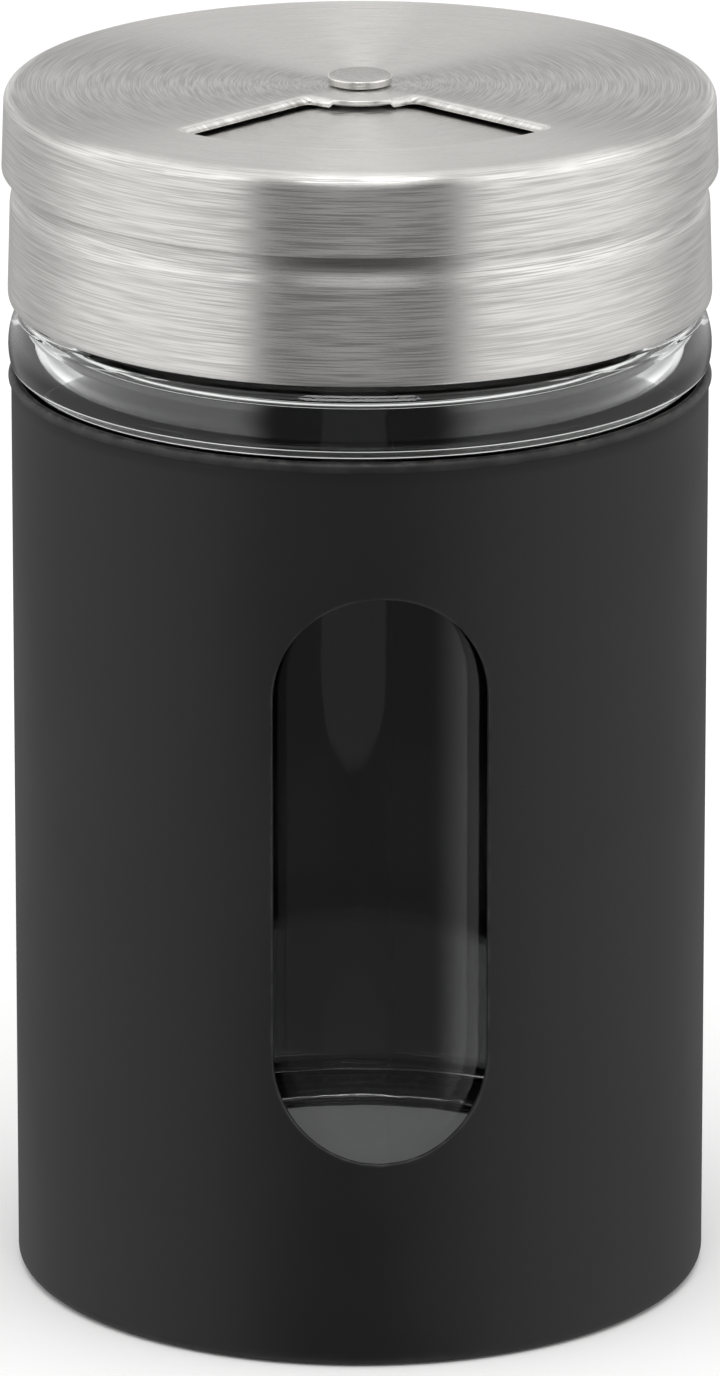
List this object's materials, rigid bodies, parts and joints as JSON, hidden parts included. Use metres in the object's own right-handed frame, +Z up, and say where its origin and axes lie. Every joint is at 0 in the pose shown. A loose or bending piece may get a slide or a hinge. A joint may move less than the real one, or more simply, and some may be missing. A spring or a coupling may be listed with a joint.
{
  "type": "salt and pepper shaker",
  "caption": "Round spice shaker: glass jar in a black steel sleeve with a view window, steel screw cap with hole sectors under a turning dial cover.",
  "frame": {"origin": "middle of the sleeve's underside, on the surface the shaker stands on", "axes": "+Z up along the shaker's own axis, -Y out of the sleeve's window, +X to the right of somebody who faces the window"},
  "size_m": [0.062, 0.062, 0.1078],
  "materials": {
    "black_coating": "matt black powder coat on steel sheet",
    "clear_glass": "clear pressed glass",
    "brushed_steel": "stainless steel, brushed in circles round the axis",
    "rivet_steel": "stainless steel, face turned and satin",
    "washer_steel": "plain stainless steel",
    "white_plastic": "moulded white polypropylene",
    "clear_seal": "soft translucent food-grade plastic"
  },
  "bodies": {
    "sleeve": {"sleeve": "black_coating"},
    "jar": {"glass_jar": "clear_glass"},
    "seal": {"seal_ring": "clear_seal"},
    "cap": {"cap_shell": "brushed_steel", "thread_insert": "white_plastic", "pivot_rivet": "rivet_steel", "glide_washer": "washer_steel", "backing_washer": "washer_steel"},
    "dial": {"dial_cover": "brushed_steel"}
  },
  "joints": [
    {"name": "jar_lift", "type": "slide", "parent": "sleeve", "child": "jar", "axis": [0, 0, 1], "range_m": [0, 0.085]},
    {"name": "cap_rise", "type": "slide", "parent": "jar", "child": "seal", "axis": [0, 0, 1], "range_m": [0, 0.01475]},
    {"name": "cap_turn", "type": "hinge", "parent": "seal", "child": "cap", "pos_m": [0, 0, 0.0883], "axis": [0, 0, 1], "range_deg": [0, 1260]},
    {"name": "dial_turn", "type": "hinge", "parent": "cap", "child": "dial", "pos_m": [0, 0, 0.1069], "axis": [0, 0, 1], "continuous": true}
  ],
  "couplings": [
    {"joint": "cap_rise", "follows": "cap_turn", "m_per_rad": 0.00066845}
  ]
}
